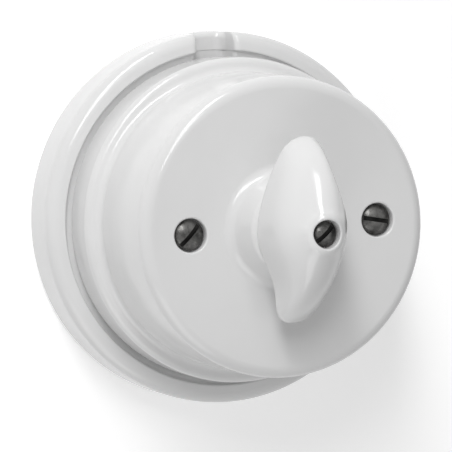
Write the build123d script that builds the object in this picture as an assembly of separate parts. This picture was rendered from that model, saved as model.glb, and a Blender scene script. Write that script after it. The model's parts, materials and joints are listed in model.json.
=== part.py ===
from build123d import *
from math import cos, pi, sin, sqrt
import os

# Surface-mounted rotary light switch in glazed porcelain.
# Each piece is drawn with the wall at height 0, the front at +Z and 12 o'clock at +Y.
# At the end the switch is turned upright: the wall is then the plane Y = 0, the front faces -Y
# and 12 o'clock is +Z. All sizes are in millimetres.

# Clearances
SEAT_GAP = 0.3            # between porcelain pieces that locate each other
RUN_GAP = 0.05            # radial, between a turning journal and its bearing
SLIDE_GAP = 0.05          # a piece slipped on to a square or into a slot
SCREW_GAP = 0.25          # radial, round a screw that passes through
THREAD_GAP = 0.03         # radial, between a screw and its tapped hole
AXIAL_GAP = 0.1           # along the spindle, between turning and fixed faces
SPINDLE_ROOM = 0.6        # radial, round the spindle in the cover's collar
TAP_OVERRUN = 1.0         # a tapped hole is this much deeper than its screw
CUT_OVER = 1.0            # a cut passes this far beyond the surface that it opens

# Base plate
BASE_DIAMETER = 90.0
BASE_HEIGHT = 14.0
BASE_FLOOR = 6.0
RIM_WALL = 4.0
RIM_OUTER_ROUND = 2.8
RIM_INNER_ROUND = 1.0
BASE_BACK_ROUND = 0.8
FLOOR_ROUND = 1.5
NOTCH_WIDTH = 9.0
NOTCH_SILL = 0.6          # height of the notch's floor over the dish's floor
NOTCH_ROUND = 1.2
WALL_SCREW_SPACING = 50.0
WALL_SCREW_HOLE = 5.0
WALL_SCREW_HEAD_ACCESS = 10.0

# Cover
GROOVE_WIDTH = 2.0        # between the rim and the cover's flange
COVER_LIFT = 6.4          # from the dish's floor to the cover's lower edge
COVER_HEIGHT = 40.8
FLANGE_HEIGHT = 11.8
LEDGE_WIDTH = 3.5
COVER_WALL = 4.5
COVER_FACE = 5.0
COVER_EDGE_ROUND = 1.3
SHOULDER_ROUND = 1.7
LEDGE_FILLET = 1.8
DRUM_TAPER = 0.3
LEDGE_SLOPE = 0.4         # rise of the ledge from the shoulder to the drum wall
FACE_ROUND = 3.0
COLLAR_HEIGHT = 7.3
COLLAR_TOP_DIAMETER = 21.0
COLLAR_FOOT_DIAMETER = 27.0
COLLAR_TOP_ROUND = 2.0
COLLAR_FILLET = 3.0
COVER_SCREW_INSET = 12.2  # from the drum wall in to a cover screw's middle
RECESS_DEPTH = 2.3
RECESS_ROUND = 0.5
COVER_INNER_ROUND = 1.0
COVER_FOOT_INNER_ROUND = 0.5
FACE_INNER_ROUND = 2.0
SPINDLE_HOLE_ROUND = 0.6

# Contact block
BLOCK_SETBACK = 1.2       # the block's wall stands back from the cover's flange
SPIGOT_HEIGHT = 5.6
WELL_FLOOR = 3.0
BLOCK_SCREW_INSET = 5.7    # from the spigot's wall in to a block screw's middle
BLOCK_TOP_ROUND = 0.8
WELL_ROOM = 1.5            # radial, round the drum
POCKET_FLOOR = 6.0        # under the contact springs, over the block's underside

# Fasteners
COVER_SCREW = 4.0
COVER_SCREW_HEAD = 7.3
COVER_SCREW_HEAD_HEIGHT = 2.0
COVER_SCREW_REACH = 8.0   # thread inside the pillar
KNOB_SCREW = 3.0
KNOB_SCREW_HEAD = 5.9
KNOB_SCREW_HEAD_HEIGHT = 1.9
KNOB_SCREW_REACH = 6.0
SLOT_WIDTH = 1.0
SLOT_DEPTH = 0.9
HEAD_CROWN = 0.7
COVER_SLOT_ANGLES = {"left": 45.0, "right": -12.0}
KNOB_SLOT_ANGLE = 40.0
BLOCK_SCREW = 4.0
BLOCK_SCREW_HEAD = 7.0
BLOCK_SCREW_HEAD_HEIGHT = 2.4
BLOCK_SLOT_ANGLE = 30.0
BLOCK_NUT_ACROSS = 7.0
BLOCK_NUT_HEIGHT = 2.6
NUT_COVER = 0.6           # the nut lies this far under the base plate's back
TERMINAL_SCREW = 3.0
TERMINAL_SCREW_HEAD = 5.0
TERMINAL_SCREW_HEAD_HEIGHT = 1.8
TERMINAL_SLOT_ANGLE = 20.0
FIXING_SLOT_ANGLE = 65.0
FIXING_REACH = 2.2        # of the fixing screw into the terminal
BRIDGE_SCREW = 2.5
BRIDGE_SCREW_HEAD = 4.5
BRIDGE_SCREW_HEAD_HEIGHT = 1.5
BRIDGE_SCREW_REACH = 3.6
BRIDGE_HEAD_CROWN = 0.5
BRIDGE_SLOT_ANGLE = 40.0

# Contacts
CONTACT_ANGLE = 45.0      # of the line through both contacts, from +X
SPRING_METAL = 0.8
CONTACT_SPRING_WIDTH = 6.0
CONTACT_GAP = 0.1         # between the drum's rim and the contact spring
CONTACT_BEND = 1.6
CONTACT_HEIGHT = 4.6
CONTACT_BEND_REACH = 2.4  # the lower bend stands this far outside the drum
CONTACT_BEND_RISE = 2.6   # the strip is upright from this far over the pocket's floor
CONTACT_TIP_REACH = 1.6
CONTACT_TIP_RISE = 1.0
TERMINAL_INSET = 3.5      # from the drum wall's inside to the terminal's end
TERMINAL_LENGTH = 9.0
TERMINAL_WIDTH = 7.0
TERMINAL_HEIGHT = 7.0
TERMINAL_CHAMFER = 0.6
WIRE_HOLE = 3.2
WIRE_HOLE_RISE = 2.6

# Turning parts
DRUM_DIAMETER = 22.0
DRUM_HEIGHT = 8.0
DRUM_ROUND = 0.6
BAR_WIDTH = 6.0
BAR_HEIGHT = 4.0
THRUST_WASHER = 10.0
THRUST_WASHER_HEIGHT = 0.6
SPINDLE_DIAMETER = 5.0
SPINDLE_SQUARE = 4.4
SQUARE_CORNERS = 5.8      # diameter over the turned corners of the spindle's square
SPINDLE_FOOT = 3.6
SPINDLE_FOOT_LENGTH = 2.0
KNOB_SQUARE = 3.5
KNOB_SQUARE_FOOT = 2.0    # the knob's square starts this far under the knob
CAM_ACROSS = 12.0
CAM_HEIGHT = 3.0
CAM_ROUND = 2.0
CAM_LIFT = 0.9            # between the block's top and the cam
LEAF_THICKNESS = 0.5
LEAF_HALF_SPAN = 12.5
SPRING_POST = 2.6
SPRING_POST_STUB = 5.0
SPRING_POST_OVER = 0.6    # a spring post stands this far over the cam
EYE_SWEEP = 200.0
BRIDGE_POST = 5.0
BRIDGE_POST_OFFSET = 18.5
BRIDGE_POST_STUB = 3.0
BRIDGE_WIDTH = 10.0
BRIDGE_THICKNESS = 1.5
BRIDGE_LIFT = 1.6         # from the cam up to the bridge
CLIP_DIAMETER = 9.0
CLIP_THICKNESS = 0.6
CLIP_GROOVE = 4.0
CLIP_MOUTH = 2.8
PILLAR_DIAMETER = 7.0
PILLAR_STUB = 5.0
PILLAR_CHAMFER = 0.5

# Knob
KNOB_LIFT = 0.6           # between the collar and the knob
KNOB_LENGTH = 42.8
KNOB_RISE = 19.2
KNOB_HUB_WIDTH = 20.4
KNOB_TIP_WIDTH = 7.6
KNOB_SWEEP = 2.4          # sideways bend of the plan outline at each tip
KNOB_CREST_SWEEP = 4.6    # sideways bend of the crest
KNOB_BEND_END = 0.6       # share of the half length where the crest's bend is full
KNOB_CREST_ROOM = 0.72    # share of the half width that the crest may stand off the middle
KNOB_NECK_END = 0.75      # share of the half length where the hollow side has come in
KNOB_LONG_SIDE = 1.75     # how late the full side of the outline tapers
KNOB_ARCH_FALL = 0.85     # how fast the crest falls towards the tips
KNOB_ARCH_FULLNESS = 1.9  # 2 makes each flank an ellipse's quarter
KNOB_ARCH_STEPS = 4       # spans of the curve up each flank
KNOB_TIP_BLUNTNESS = 16
KNOB_STATIONS = (0.2, 0.4, 0.6, 0.78, 0.9, 0.965, 0.995)   # sections, as shares of the half length
KNOB_SCREW_SINK = 2.2     # counterbore under the crest
KNOB_SCREW_SEAT = 3.8     # porcelain between the counterbore and the spindle's end
KNOB_WASHER_HEIGHT = 0.5

# Places that follow from the sizes
base_radius = BASE_DIAMETER / 2
rim_inner = base_radius - RIM_WALL
cover_radius = rim_inner - GROOVE_WIDTH
cover_foot = BASE_FLOOR + COVER_LIFT
shoulder = cover_foot + FLANGE_HEIGHT
drum_wall_radius = cover_radius - LEDGE_WIDTH
face = cover_foot + COVER_HEIGHT
face_inside = face - COVER_FACE
flange_inner = cover_radius - COVER_WALL
drum_wall_inner = drum_wall_radius - COVER_WALL
collar_top = face + COLLAR_HEIGHT
block_radius = cover_radius - BLOCK_SETBACK
spigot_radius = flange_inner - SEAT_GAP
block_top = cover_foot + SPIGOT_HEIGHT
cover_screw_offset = drum_wall_radius - COVER_SCREW_INSET
block_screw_offset = spigot_radius - BLOCK_SCREW_INSET
terminal_offset = drum_wall_inner - TERMINAL_INSET - TERMINAL_LENGTH / 2
well_floor = BASE_FLOOR + WELL_FLOOR
pocket_floor = BASE_FLOOR + POCKET_FLOOR
drum_radius = DRUM_DIAMETER / 2
drum_foot = well_floor + THRUST_WASHER_HEIGHT + AXIAL_GAP
drum_top = drum_foot + DRUM_HEIGHT
well_radius = drum_radius + WELL_ROOM
cam_foot = block_top + CAM_LIFT
cam_top = cam_foot + CAM_HEIGHT
bridge_foot = cam_top + BRIDGE_LIFT
bridge_top = bridge_foot + BRIDGE_THICKNESS
knob_foot = collar_top + KNOB_LIFT
knob_crest = knob_foot + KNOB_RISE
knob_seat = knob_crest - KNOB_SCREW_SINK - KNOB_SCREW_HEAD_HEIGHT
spindle_end = knob_seat - KNOB_SCREW_SEAT
leaf_face = CAM_ACROSS / 2 + SLIDE_GAP
spring_post_offset = leaf_face + LEAF_THICKNESS + SPRING_POST / 2
BOTH_SIDES = {"left": -1, "right": 1}
CONTACTS = {"line": 0, "load": 180}
FROM_BELOW = (Align.CENTER, Align.CENTER, Align.MIN)


def disc(diameter, low, high):
    """A round bar along the axis between two heights."""
    return Pos(0, 0, low) * Cylinder(diameter / 2, high - low, align=FROM_BELOW)


def block(length, width, low, high):
    """A rectangular bar centred on the axis between two heights."""
    return Pos(0, 0, low) * Box(length, width, high - low, align=FROM_BELOW)


def turned(points, rounds):
    """Turn a closed outline of (radius, height) points, each corner with its own rounding."""
    outline = FilletPolyline(*points, radius=rounds, close=True)
    return revolve(Plane.XZ * make_face(outline), Axis.Z)


def around(angle, radius, piece):
    """Place a piece at an angle and a radius from the axis, turned to face outwards."""
    return Rot(0, 0, angle) * Pos(radius, 0, 0) * piece


def rounded_square(across, corner, low, high):
    """A square bar with rounded corners."""
    return Pos(0, 0, low) * extrude(RectangleRounded(across, across, corner), high - low)


def slotted_screw(shank, head, head_height, crown, length, slot_angle):
    """A screw with its seat at height 0: a crowned, slotted head above and the shank below."""
    crown_radius = ((head / 2) ** 2 + crown ** 2) / (2 * crown)
    dome = Pos(0, 0, head_height - crown_radius) * Sphere(crown_radius)
    body = disc(head, 0, head_height) & dome
    body += disc(shank, -length, head_height - SLOT_DEPTH)
    slot = block(head + CUT_OVER, SLOT_WIDTH, head_height - SLOT_DEPTH, head_height + CUT_OVER)
    return body - Rot(0, 0, slot_angle) * slot


def base_plate():
    """Porcelain dish with a raised rim, a cable notch at 12 o'clock and a flat back."""
    outline = [
        (0, 0), (base_radius, 0), (base_radius, BASE_HEIGHT), (rim_inner, BASE_HEIGHT),
        (rim_inner, BASE_FLOOR), (0, BASE_FLOOR),
    ]
    rounds = [0, BASE_BACK_ROUND, RIM_OUTER_ROUND, RIM_INNER_ROUND, FLOOR_ROUND, 0]
    plate = turned(outline, rounds) - cable_notch()
    for side in BOTH_SIDES.values():
        plate -= Pos(0, side * WALL_SCREW_SPACING / 2, 0) * disc(WALL_SCREW_HOLE, 0, BASE_FLOOR)
        plate -= around(CONTACT_ANGLE + side * 90, block_screw_offset, block_screw_passage())
    return plate


def cable_notch():
    """The notch cut through the rim, with its front edges rounded over."""
    half = NOTCH_WIDTH / 2
    sill = BASE_FLOOR + NOTCH_SILL
    flare = half + NOTCH_ROUND
    top = BASE_HEIGHT + CUT_OVER
    outline = Polyline(
        (-flare, top), (-flare, BASE_HEIGHT), (-half, BASE_HEIGHT - NOTCH_ROUND), (-half, sill),
        (half, sill), (half, BASE_HEIGHT - NOTCH_ROUND), (flare, BASE_HEIGHT), (flare, top), close=True,
    )
    cutter = make_face(outline)
    corners = cutter.vertices().filter_by(lambda v: v.Y < BASE_HEIGHT - NOTCH_ROUND / 2)
    cutter = fillet(corners, NOTCH_ROUND)
    inner = rim_inner - CUT_OVER
    upright = Plane(origin=(0, inner, 0), x_dir=(-1, 0, 0), z_dir=(0, 1, 0))
    return upright * extrude(cutter, base_radius + CUT_OVER - inner)


def block_screw_passage():
    """Hole for a block screw with the nut's pocket in the back."""
    pocket = extrude(RegularPolygon(BLOCK_NUT_ACROSS / 2 + SEAT_GAP, 6, major_radius=False),
                     BLOCK_NUT_HEIGHT + NUT_COVER)
    return disc(BLOCK_SCREW + 2 * SCREW_GAP, 0, BASE_FLOOR) + pocket


def contact_block():
    """Porcelain insert: a shoulder for the cover, a spigot inside it and the contact chambers."""
    outline = [
        (0, BASE_FLOOR), (block_radius, BASE_FLOOR), (block_radius, cover_foot),
        (spigot_radius, cover_foot), (spigot_radius, block_top), (0, block_top),
    ]
    insert = turned(outline, [0, 0, 0, 0, BLOCK_TOP_ROUND, 0])
    insert -= disc(2 * well_radius, well_floor, block_top)
    insert -= disc(SPINDLE_FOOT + 2 * RUN_GAP, drum_foot - SPINDLE_FOOT_LENGTH - AXIAL_GAP, well_floor)
    for side in BOTH_SIDES.values():
        insert -= Pos(0, side * WALL_SCREW_SPACING / 2, 0) * wall_screw_slot(side)
        cross = CONTACT_ANGLE + side * 90
        insert -= around(cross, block_screw_offset, block_screw_seat())
        insert -= around(cross, BRIDGE_POST_OFFSET, stub_hole(BRIDGE_POST_STUB, SPRING_POST_STUB))
        insert -= Pos(side * cover_screw_offset, 0, 0) * stub_hole(PILLAR_STUB, SPIGOT_HEIGHT)
        for end in BOTH_SIDES.values():
            insert -= spring_post_place(side, end) * stub_hole(SPRING_POST, SPRING_POST_STUB)
    for turn in CONTACTS.values():
        insert -= Rot(0, 0, CONTACT_ANGLE + turn) * contact_chamber()
    return insert


def wall_screw_slot(side):
    """Open-ended slot for a wall screw and its driver; cable cores come in through the upper one."""
    slot = disc(WALL_SCREW_HEAD_ACCESS, BASE_FLOOR, block_top)
    channel = block(NOTCH_WIDTH, block_radius, BASE_FLOOR, block_top)
    return slot + Pos(0, side * block_radius / 2, 0) * channel


def stub_hole(stub, depth):
    """Hole in the block's top for the stub of a post or pillar."""
    return disc(stub + 2 * THREAD_GAP, block_top - depth, block_top)


def block_screw_seat():
    """Stepped hole for a block screw, its head below the block's top."""
    shank_hole = disc(BLOCK_SCREW + 2 * SCREW_GAP, BASE_FLOOR, block_top)
    head_room = disc(BLOCK_SCREW_HEAD + 2 * SEAT_GAP, block_screw_height(), block_top)
    return shank_hole + head_room


def block_screw_height():
    """Height of the seat of a block screw's head."""
    return block_top - BLOCK_SCREW_HEAD_HEIGHT - SEAT_GAP


def contact_chamber():
    """Radial chamber for one contact spring and its terminal, with the fixing screw's hole below."""
    outer = terminal_offset + TERMINAL_LENGTH / 2 + SEAT_GAP
    width = max(TERMINAL_WIDTH, CONTACT_SPRING_WIDTH) + 2 * SEAT_GAP
    chamber = Pos(outer / 2, 0, 0) * block(outer, width, pocket_floor, block_top)
    hole = disc(TERMINAL_SCREW + 2 * SCREW_GAP, BASE_FLOOR, pocket_floor)
    hole += disc(TERMINAL_SCREW_HEAD + 2 * SEAT_GAP, BASE_FLOOR,
                 BASE_FLOOR + TERMINAL_SCREW_HEAD_HEIGHT + SEAT_GAP)
    return chamber + Pos(terminal_offset, 0, 0) * hole


def contact_spring():
    """Sprung strip: flat under the terminal, then bent up to bear on the drum's rim."""
    inner = drum_radius + CONTACT_GAP
    half = SPRING_METAL / 2
    path = FilletPolyline(
        (terminal_offset + TERMINAL_LENGTH / 2, pocket_floor + half),
        (inner + CONTACT_BEND_REACH, pocket_floor + half),
        (inner + half, pocket_floor + CONTACT_BEND_RISE),
        (inner + half, pocket_floor + CONTACT_HEIGHT),
        (inner + CONTACT_TIP_REACH, pocket_floor + CONTACT_HEIGHT + CONTACT_TIP_RISE),
        radius=[CONTACT_BEND, CONTACT_BEND, SPRING_METAL],
    )
    strip = extrude(Plane.XZ * make_face(trace(path, SPRING_METAL)), CONTACT_SPRING_WIDTH / 2, both=True)
    return strip - Pos(terminal_offset, 0, 0) * disc(
        TERMINAL_SCREW + 2 * SCREW_GAP, pocket_floor, pocket_floor + SPRING_METAL)


def terminal():
    """Brass terminal with a cross hole for the wire and tapped holes for its two screws."""
    foot = pocket_floor + SPRING_METAL
    top = foot + TERMINAL_HEIGHT
    body = block(TERMINAL_LENGTH, TERMINAL_WIDTH, foot, top)
    body = chamfer(body.edges().filter_by(Axis.Z), TERMINAL_CHAMFER)
    wire = Rot(0, 90, 0) * Cylinder(WIRE_HOLE / 2, TERMINAL_LENGTH + CUT_OVER)
    body -= Pos(0, 0, top - WIRE_HOLE_RISE) * wire
    return body - disc(TERMINAL_SCREW + 2 * THREAD_GAP, foot, top)


def terminal_screw():
    """Clamping screw of a terminal, down to the wire hole."""
    top = pocket_floor + SPRING_METAL + TERMINAL_HEIGHT
    screw = slotted_screw(TERMINAL_SCREW, TERMINAL_SCREW_HEAD, TERMINAL_SCREW_HEAD_HEIGHT,
                          HEAD_CROWN, WIRE_HOLE_RISE, TERMINAL_SLOT_ANGLE)
    return Pos(0, 0, top) * screw


def terminal_fixing_screw():
    """Screw from the block's underside into the terminal."""
    length = pocket_floor + SPRING_METAL - BASE_FLOOR - TERMINAL_SCREW_HEAD_HEIGHT
    screw = slotted_screw(TERMINAL_SCREW, TERMINAL_SCREW_HEAD, TERMINAL_SCREW_HEAD_HEIGHT,
                          HEAD_CROWN, length + FIXING_REACH, FIXING_SLOT_ANGLE)
    return Pos(0, 0, BASE_FLOOR + TERMINAL_SCREW_HEAD_HEIGHT + SEAT_GAP) * Rot(180, 0, 0) * screw


def block_screw():
    """Screw that holds the contact block to the base plate."""
    seat = block_screw_height()
    screw = slotted_screw(BLOCK_SCREW, BLOCK_SCREW_HEAD, BLOCK_SCREW_HEAD_HEIGHT, HEAD_CROWN,
                          seat - NUT_COVER, BLOCK_SLOT_ANGLE)
    return Pos(0, 0, seat) * screw


def block_nut():
    """Hexagon nut in its pocket in the base plate's back."""
    nut = extrude(RegularPolygon(BLOCK_NUT_ACROSS / 2, 6, major_radius=False), BLOCK_NUT_HEIGHT)
    return Pos(0, 0, NUT_COVER) * (nut - disc(BLOCK_SCREW + 2 * THREAD_GAP, 0, BLOCK_NUT_HEIGHT))


def cover_pillar():
    """Brass pillar cemented into the block, tapped for a cover screw."""
    top = face_inside - SEAT_GAP
    pillar = disc(PILLAR_DIAMETER, block_top, top)
    pillar += disc(PILLAR_STUB, block_top - SPIGOT_HEIGHT, block_top)
    pillar = chamfer(pillar.faces().sort_by(Axis.Z)[-1].edges(), PILLAR_CHAMFER)
    return pillar - disc(COVER_SCREW + 2 * THREAD_GAP, top - COVER_SCREW_REACH - TAP_OVERRUN, top)


def cover():
    """Porcelain cap: flange, drum wall, face and collar, hollow behind."""
    collar_foot_radius = COLLAR_FOOT_DIAMETER / 2
    collar_radius = COLLAR_TOP_DIAMETER / 2
    hole = SPINDLE_DIAMETER / 2 + SPINDLE_ROOM
    outline = [
        (flange_inner, cover_foot), (cover_radius, cover_foot), (cover_radius, shoulder),
        (drum_wall_radius, shoulder + LEDGE_SLOPE), (drum_wall_radius - DRUM_TAPER, face),
        (collar_foot_radius, face), (collar_radius, collar_top), (hole, collar_top),
        (hole, face_inside), (drum_wall_inner, face_inside), (drum_wall_inner, shoulder - COVER_WALL),
        (flange_inner, shoulder - COVER_WALL),
    ]
    rounds = [
        COVER_FOOT_INNER_ROUND, COVER_EDGE_ROUND, SHOULDER_ROUND, LEDGE_FILLET, FACE_ROUND,
        COLLAR_FILLET, COLLAR_TOP_ROUND, SPINDLE_HOLE_ROUND, 0, FACE_INNER_ROUND, COVER_INNER_ROUND,
        COVER_INNER_ROUND,
    ]
    cap = turned(outline, rounds)
    for side in BOTH_SIDES.values():
        cap -= Pos(side * cover_screw_offset, 0, 0) * screw_recess()
    return cap


def screw_recess():
    """Recess for a cover screw's head with a softened mouth, and the shank's hole."""
    wall = COVER_SCREW_HEAD / 2 + SEAT_GAP
    mouth = wall + RECESS_ROUND + CUT_OVER
    shank = COVER_SCREW / 2 + SCREW_GAP
    floor = face - RECESS_DEPTH
    outline = [
        (0, face + CUT_OVER), (mouth, face + CUT_OVER), (mouth, face), (wall, face), (wall, floor),
        (shank, floor), (shank, face_inside - CUT_OVER), (0, face_inside - CUT_OVER),
    ]
    return turned(outline, [0, 0, 0, RECESS_ROUND, SEAT_GAP, 0, 0, 0])


def cover_screw(slot_angle):
    """Slotted screw through the cover's face into a pillar."""
    seat = face - RECESS_DEPTH
    length = seat - (face_inside - SEAT_GAP) + COVER_SCREW_REACH
    screw = slotted_screw(COVER_SCREW, COVER_SCREW_HEAD, COVER_SCREW_HEAD_HEIGHT, HEAD_CROWN, length,
                          slot_angle)
    return Pos(0, 0, seat) * screw


def spindle():
    """Steel spindle: foot journal, square for drum and cam, round journal, square end for the knob."""
    foot = drum_foot - SPINDLE_FOOT_LENGTH
    square_top = bridge_foot - AXIAL_GAP
    knob_square_foot = knob_foot - KNOB_SQUARE_FOOT
    bar = disc(SPINDLE_FOOT, foot, drum_foot)
    square = block(SPINDLE_SQUARE, SPINDLE_SQUARE, drum_foot, square_top)
    bar += Rot(0, 0, CONTACT_ANGLE) * square & disc(SQUARE_CORNERS, drum_foot, square_top)
    bar += disc(SPINDLE_DIAMETER, square_top, knob_square_foot)
    bar += block(KNOB_SQUARE, KNOB_SQUARE, knob_square_foot, spindle_end) & disc(
        SPINDLE_DIAMETER, knob_square_foot, spindle_end)
    groove_top = clip_foot() + CLIP_THICKNESS + SLIDE_GAP
    groove = disc(SPINDLE_DIAMETER + CUT_OVER, clip_foot(), groove_top)
    groove -= disc(CLIP_GROOVE, clip_foot(), groove_top)
    tapped = disc(tapped_knob_hole(), spindle_end - KNOB_SCREW_REACH - TAP_OVERRUN, spindle_end)
    return bar - groove - tapped


def tapped_knob_hole():
    """Diameter of the tapped hole in the spindle's end."""
    return KNOB_SCREW + 2 * THREAD_GAP


def clip_foot():
    """Height of the retaining clip over the bridge."""
    return bridge_top + AXIAL_GAP


def retaining_clip():
    """Open spring clip in the spindle's groove over the bridge."""
    ring = disc(CLIP_DIAMETER, clip_foot(), clip_foot() + CLIP_THICKNESS)
    ring -= disc(CLIP_GROOVE + 2 * THREAD_GAP, clip_foot(), clip_foot() + CLIP_THICKNESS)
    gap = Pos(CLIP_DIAMETER / 2, 0, 0) * block(CLIP_DIAMETER, CLIP_MOUTH, clip_foot(),
                                               clip_foot() + CLIP_THICKNESS)
    return ring - gap


def thrust_washer():
    """Washer between the well's floor and the drum."""
    washer = disc(THRUST_WASHER, well_floor, well_floor + THRUST_WASHER_HEIGHT)
    return washer - disc(SPINDLE_FOOT + 2 * SCREW_GAP, well_floor, well_floor + THRUST_WASHER_HEIGHT)


def square_hole(low, high):
    """Hole for the spindle's square, in line with the contacts."""
    side = SPINDLE_SQUARE + 2 * SLIDE_GAP
    return Rot(0, 0, CONTACT_ANGLE) * block(side, side, low, high)


def bar_shape(extra):
    """The contact bar's strip across the drum."""
    middle = drum_foot + DRUM_HEIGHT / 2
    return block(DRUM_DIAMETER + CUT_OVER, BAR_WIDTH + 2 * extra, middle - BAR_HEIGHT / 2 - extra,
                 middle + BAR_HEIGHT / 2 + extra)


def switch_drum():
    """Steatite drum with a cross passage for the contact bar."""
    drum = disc(DRUM_DIAMETER, drum_foot, drum_top)
    rims = drum.faces().filter_by(GeomType.PLANE).edges()
    drum = fillet(rims, DRUM_ROUND)
    return drum - Rot(0, 0, CONTACT_ANGLE) * bar_shape(SLIDE_GAP) - square_hole(drum_foot, drum_top)


def contact_bar():
    """Brass bar across the drum, its ends flush with the drum's rim."""
    bar = Rot(0, 0, CONTACT_ANGLE) * bar_shape(0) & disc(DRUM_DIAMETER, drum_foot, drum_top)
    return bar - square_hole(drum_foot, drum_top)


def index_cam():
    """Square cam whose flats rest on the two leaf springs."""
    cam = Rot(0, 0, CONTACT_ANGLE) * rounded_square(CAM_ACROSS, CAM_ROUND, cam_foot, cam_top)
    return cam - square_hole(cam_foot, cam_top)


def spring_post_place(side, end):
    """Place of a spring post, beside a leaf spring's end."""
    return Rot(0, 0, CONTACT_ANGLE) * Pos(side * spring_post_offset, end * LEAF_HALF_SPAN, 0)


def spring_post():
    """Brass post cemented into the block, with a leaf spring's eye round it."""
    return disc(SPRING_POST, block_top - SPRING_POST_STUB, cam_top + SPRING_POST_OVER)


def index_spring():
    """Leaf spring beside the cam, each end curled round its post."""
    half = LEAF_THICKNESS / 2
    line_x = leaf_face + half
    eye = SPRING_POST / 2 + half
    centre = leaf_face + LEAF_THICKNESS + SPRING_POST / 2
    straight = Line((line_x, -LEAF_HALF_SPAN), (line_x, LEAF_HALF_SPAN))
    top_eye = CenterArc((centre, LEAF_HALF_SPAN), eye, 180, -EYE_SWEEP)
    foot_eye = CenterArc((centre, -LEAF_HALF_SPAN), eye, 180, EYE_SWEEP)
    leaf = trace([foot_eye, straight, top_eye], LEAF_THICKNESS)
    strip = Pos(0, 0, cam_foot) * extrude(make_face(leaf), CAM_HEIGHT)
    return strip - posts_clearance()


def posts_clearance():
    """Room round both posts inside the spring's eyes."""
    room = disc(SPRING_POST + 2 * THREAD_GAP, block_top, cam_top + CUT_OVER)
    upper = Pos(spring_post_offset, LEAF_HALF_SPAN, 0) * room
    return upper + Pos(spring_post_offset, -LEAF_HALF_SPAN, 0) * room


def bridge_post():
    """Brass post under one end of the bearing bridge."""
    post = disc(BRIDGE_POST, block_top, bridge_foot)
    post += disc(BRIDGE_POST_STUB, block_top - SPRING_POST_STUB, block_top)
    tapped_foot = bridge_foot - BRIDGE_SCREW_REACH - TAP_OVERRUN
    return post - disc(BRIDGE_SCREW + 2 * THREAD_GAP, tapped_foot, bridge_foot)


def bearing_bridge():
    """Brass strip over the cam that carries the spindle's upper journal."""
    length = 2 * BRIDGE_POST_OFFSET + BRIDGE_WIDTH
    strip = SlotOverall(length, BRIDGE_WIDTH)
    bridge = Pos(0, 0, bridge_foot) * extrude(strip, BRIDGE_THICKNESS)
    bridge -= disc(SPINDLE_DIAMETER + 2 * RUN_GAP, bridge_foot, bridge_top)
    for side in BOTH_SIDES.values():
        bridge -= Pos(side * BRIDGE_POST_OFFSET, 0, 0) * disc(
            BRIDGE_SCREW + 2 * SCREW_GAP, bridge_foot, bridge_top)
    return Rot(0, 0, CONTACT_ANGLE + 90) * bridge


def bridge_screw():
    """Small screw that holds the bridge to its post."""
    screw = slotted_screw(BRIDGE_SCREW, BRIDGE_SCREW_HEAD, BRIDGE_SCREW_HEAD_HEIGHT, BRIDGE_HEAD_CROWN,
                          BRIDGE_THICKNESS + BRIDGE_SCREW_REACH, BRIDGE_SLOT_ANGLE)
    return Pos(0, 0, bridge_top) * screw


def plan_edges(t):
    """Left and right edges of the knob's plan at a share t of its half length."""
    share = abs(t)
    hub, tip = KNOB_HUB_WIDTH / 2, KNOB_TIP_WIDTH / 2
    full = hub + (tip - KNOB_SWEEP - hub) * share ** KNOB_LONG_SIDE
    come_in = (1 - cos(pi * min(share / KNOB_NECK_END, 1))) / 2
    hollow = hub + (tip + KNOB_SWEEP - hub) * come_in
    middle = (hollow - full) / 2
    half = (hollow + full) / 2 * sqrt(1 - share ** KNOB_TIP_BLUNTNESS)
    edges = (middle - half, middle + half)
    return edges if t >= 0 else (-edges[1], -edges[0])


def crest_rise(t):
    """Height of the crest over the knob's underside."""
    return KNOB_RISE * (1 - t * t) ** KNOB_ARCH_FALL


def crest_place(t, left, right):
    """Sideways place of the crest, which bends opposite ways on the two wings."""
    bend = KNOB_CREST_SWEEP * sin(min(abs(t) / KNOB_BEND_END, 1) * pi / 2)
    room = (right - left) / 2 * KNOB_CREST_ROOM
    middle = (left + right) / 2
    wanted = bend if t >= 0 else -bend
    return max(middle - room, min(middle + room, wanted))


def wing_section(t):
    """Arched section across the knob at a share t of its half length."""
    left, right = plan_edges(t)
    top, rise = crest_place(t, left, right), crest_rise(t)
    angles = [pi / 2 * step / KNOB_ARCH_STEPS for step in range(KNOB_ARCH_STEPS + 1)]
    power = 2 / KNOB_ARCH_FULLNESS
    flank = [(cos(a) ** power, sin(a) ** power) for a in angles[:-1]] + [(0, 1)]
    climb = [(top + (left - top) * out, rise * up) for out, up in flank]
    descent = [(top + (right - top) * out, rise * up) for out, up in reversed(flank[:-1])]
    outline = make_face([Spline(*climb, *descent), Line((right, 0), (left, 0))])
    return Plane(origin=(0, t * KNOB_LENGTH / 2, knob_foot), x_dir=(1, 0, 0), z_dir=(0, -1, 0)) * outline


def knob():
    """S-shaped porcelain wing, lofted through arched sections, with socket and screw hole."""
    stations = [-t for t in reversed(KNOB_STATIONS)] + [0] + list(KNOB_STATIONS)
    wing = loft([wing_section(t) for t in stations])
    socket = KNOB_SQUARE + 2 * SLIDE_GAP
    wing -= block(socket, socket, knob_foot - CUT_OVER, spindle_end + AXIAL_GAP)
    wing -= disc(KNOB_SCREW + 2 * SCREW_GAP, spindle_end, knob_crest)
    wing -= disc(KNOB_SCREW_HEAD + 2 * SEAT_GAP, knob_seat - KNOB_WASHER_HEIGHT, knob_crest + CUT_OVER)
    return wing


def knob_washer():
    """Fibre washer under the knob screw's head."""
    low = knob_seat - KNOB_WASHER_HEIGHT
    return disc(KNOB_SCREW_HEAD, low, knob_seat) - disc(KNOB_SCREW + 2 * SCREW_GAP, low, knob_seat)


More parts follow.
